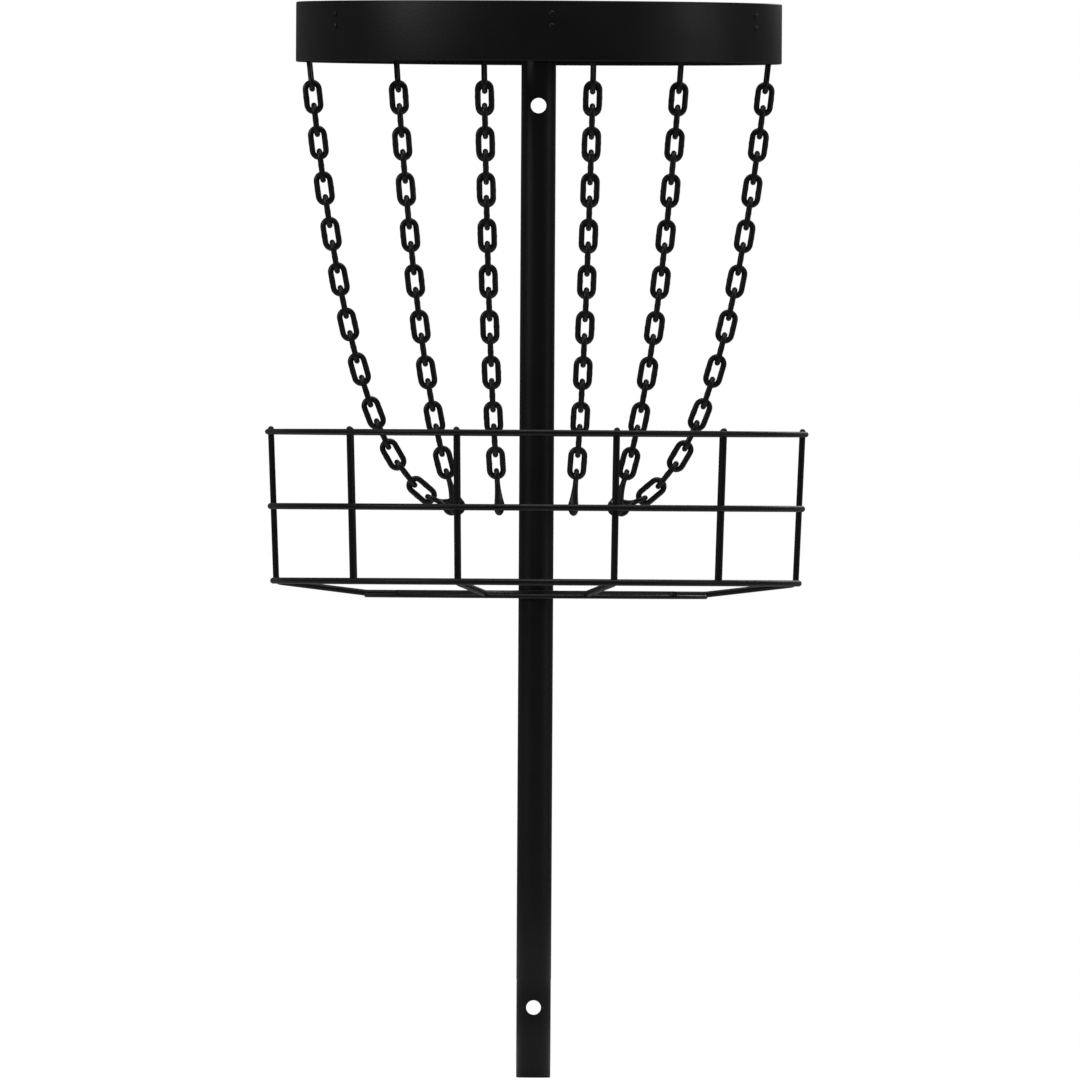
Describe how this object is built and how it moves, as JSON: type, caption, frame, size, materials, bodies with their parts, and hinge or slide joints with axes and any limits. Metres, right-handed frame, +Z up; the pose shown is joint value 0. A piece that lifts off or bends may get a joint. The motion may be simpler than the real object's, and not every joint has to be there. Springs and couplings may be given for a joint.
{
  "type": "disc golf basket",
  "caption": "Disc golf basket: a pole carries a deep round band, chains that hang from it to a loose ring, and a dished wire cage below.",
  "frame": {"origin": "centre of the pole's lower end, on the ground", "axes": "+Z up along the pole, -Y the front, +X to the right of a person who faces the front"},
  "size_m": [0.6633, 0.6634, 1.3109],
  "materials": {
    "powder_coat": "matt black powder coat with a fine orange-peel skin",
    "chain_steel": "black-plated welded chain, rubbed a little brighter where links bear",
    "hook_wire": "black-plated bent wire",
    "fastener_steel": "black oxide",
    "cap_plastic": "moulded black plastic"
  },
  "bodies": {
    "frame": {"pole": "powder_coat", "pole_cap": "cap_plastic", "support_hub": "powder_coat", "support_arms": "powder_coat", "top_band": "powder_coat", "hanger_ring": "powder_coat", "inner_hanger_ring": "powder_coat", "chain_eyes": "powder_coat", "rim_ring": "powder_coat", "middle_ring": "powder_coat", "bottom_ring": "powder_coat", "floor_ring": "powder_coat", "inner_floor_ring": "powder_coat", "cage_ribs": "powder_coat", "cage_uprights": "powder_coat", "floor_spokes": "powder_coat", "basket_hub": "powder_coat", "support_hub_bolt": "fastener_steel", "support_hub_nut": "fastener_steel", "band_rivets": "fastener_steel", "basket_hub_screws": "fastener_steel"},
    "chain_ring": {"chain_ring": "chain_steel"},
    "chain_01": {"chain_01_links": "chain_steel", "chain_01_top_hook": "hook_wire", "chain_01_bottom_hook": "hook_wire"},
    "chain_02": {"chain_02_links": "chain_steel", "chain_02_top_hook": "hook_wire", "chain_02_bottom_hook": "hook_wire"},
    "chain_03": {"chain_03_links": "chain_steel", "chain_03_top_hook": "hook_wire", "chain_03_bottom_hook": "hook_wire"},
    "chain_04": {"chain_04_links": "chain_steel", "chain_04_top_hook": "hook_wire", "chain_04_bottom_hook": "hook_wire"},
    "chain_05": {"chain_05_links": "chain_steel", "chain_05_top_hook": "hook_wire", "chain_05_bottom_hook": "hook_wire"},
    "chain_06": {"chain_06_links": "chain_steel", "chain_06_top_hook": "hook_wire", "chain_06_bottom_hook": "hook_wire"},
    "chain_07": {"chain_07_links": "chain_steel", "chain_07_top_hook": "hook_wire", "chain_07_bottom_hook": "hook_wire"},
    "chain_08": {"chain_08_links": "chain_steel", "chain_08_top_hook": "hook_wire", "chain_08_bottom_hook": "hook_wire"},
    "chain_09": {"chain_09_links": "chain_steel", "chain_09_top_hook": "hook_wire", "chain_09_bottom_hook": "hook_wire"},
    "chain_10": {"chain_10_links": "chain_steel", "chain_10_top_hook": "hook_wire", "chain_10_bottom_hook": "hook_wire"},
    "chain_11": {"chain_11_links": "chain_steel", "chain_11_top_hook": "hook_wire", "chain_11_bottom_hook": "hook_wire"},
    "chain_12": {"chain_12_links": "chain_steel", "chain_12_top_hook": "hook_wire", "chain_12_bottom_hook": "hook_wire"}
  },
  "joints": [
    {"name": "chain_ring_turn", "type": "hinge", "parent": "frame", "child": "chain_ring", "pos_m": [0, 0, 0.6954], "axis": [0, 0, 1], "continuous": true},
    {"name": "chain_01_swing", "type": "hinge", "parent": "frame", "child": "chain_01", "pos_m": [0.06702, -0.17458, 1.252], "axis": [0.0391, -0.1417, 0.9891], "range_deg": [-18, 18]},
    {"name": "chain_02_swing", "type": "hinge", "parent": "frame", "child": "chain_02", "pos_m": [0.17458, -0.06702, 1.252], "axis": [0.1391, -0.0447, 0.9893], "range_deg": [-18, 18]},
    {"name": "chain_03_swing", "type": "hinge", "parent": "frame", "child": "chain_03", "pos_m": [0.28145, -0.02958, 1.252], "axis": [0.3057, -0.0133, 0.952], "range_deg": [-12, 12]},
    {"name": "chain_04_swing", "type": "hinge", "parent": "frame", "child": "chain_04", "pos_m": [0.28145, 0.02958, 1.252], "axis": [0.3057, 0.0133, 0.952], "range_deg": [-12, 12]},
    {"name": "chain_05_swing", "type": "hinge", "parent": "frame", "child": "chain_05", "pos_m": [0.17458, 0.06702, 1.252], "axis": [0.1391, 0.0447, 0.9893], "range_deg": [-18, 18]},
    {"name": "chain_06_swing", "type": "hinge", "parent": "frame", "child": "chain_06", "pos_m": [0.06702, 0.17458, 1.252], "axis": [0.0391, 0.1417, 0.9891], "range_deg": [-18, 18]},
    {"name": "chain_07_swing", "type": "hinge", "parent": "frame", "child": "chain_07", "pos_m": [-0.06702, 0.17458, 1.252], "axis": [-0.0391, 0.1417, 0.9891], "range_deg": [-18, 18]},
    {"name": "chain_08_swing", "type": "hinge", "parent": "frame", "child": "chain_08", "pos_m": [-0.17458, 0.06702, 1.252], "axis": [-0.1391, 0.0447, 0.9893], "range_deg": [-18, 18]},
    {"name": "chain_09_swing", "type": "hinge", "parent": "frame", "child": "chain_09", "pos_m": [-0.28145, 0.02958, 1.252], "axis": [-0.3057, 0.0133, 0.952], "range_deg": [-12, 12]},
    {"name": "chain_10_swing", "type": "hinge", "parent": "frame", "child": "chain_10", "pos_m": [-0.28145, -0.02958, 1.252], "axis": [-0.3057, -0.0133, 0.952], "range_deg": [-12, 12]},
    {"name": "chain_11_swing", "type": "hinge", "parent": "frame", "child": "chain_11", "pos_m": [-0.17458, -0.06702, 1.252], "axis": [-0.1391, -0.0447, 0.9893], "range_deg": [-18, 18]},
    {"name": "chain_12_swing", "type": "hinge", "parent": "frame", "child": "chain_12", "pos_m": [-0.06702, -0.17458, 1.252], "axis": [-0.0391, -0.1417, 0.9891], "range_deg": [-18, 18]}
  ]
}
